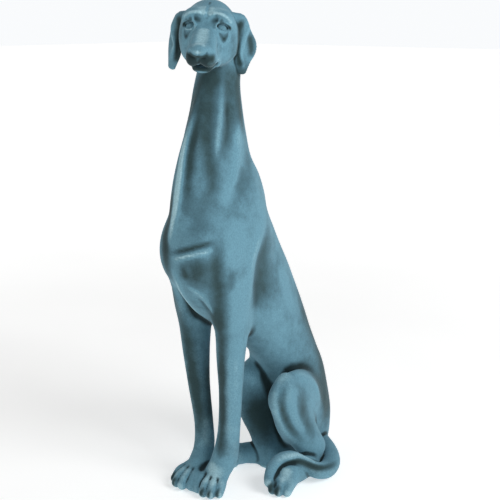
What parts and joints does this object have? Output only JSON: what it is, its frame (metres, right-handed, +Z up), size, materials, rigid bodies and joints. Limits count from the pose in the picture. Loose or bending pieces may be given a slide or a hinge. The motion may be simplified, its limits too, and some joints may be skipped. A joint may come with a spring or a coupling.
{
  "type": "flocked greyhound figurine",
  "caption": "Tall seated greyhound figurine with hanging ears and its tail curled over one hind foot, cast in one piece and covered in blue-green flock",
  "frame": {"origin": "on the ground, under the middle of the figure's box", "axes": "+Z up, -Y the way the chest faces, +X to the hound's own left"},
  "size_m": [0.2136, 0.3318, 0.75],
  "materials": {
    "flock": "short blue-green flock, matte with a soft sheen at grazing angles"
  },
  "bodies": {
    "root": {"greyhound_figure": "flock"}
  },
  "joints": []
}
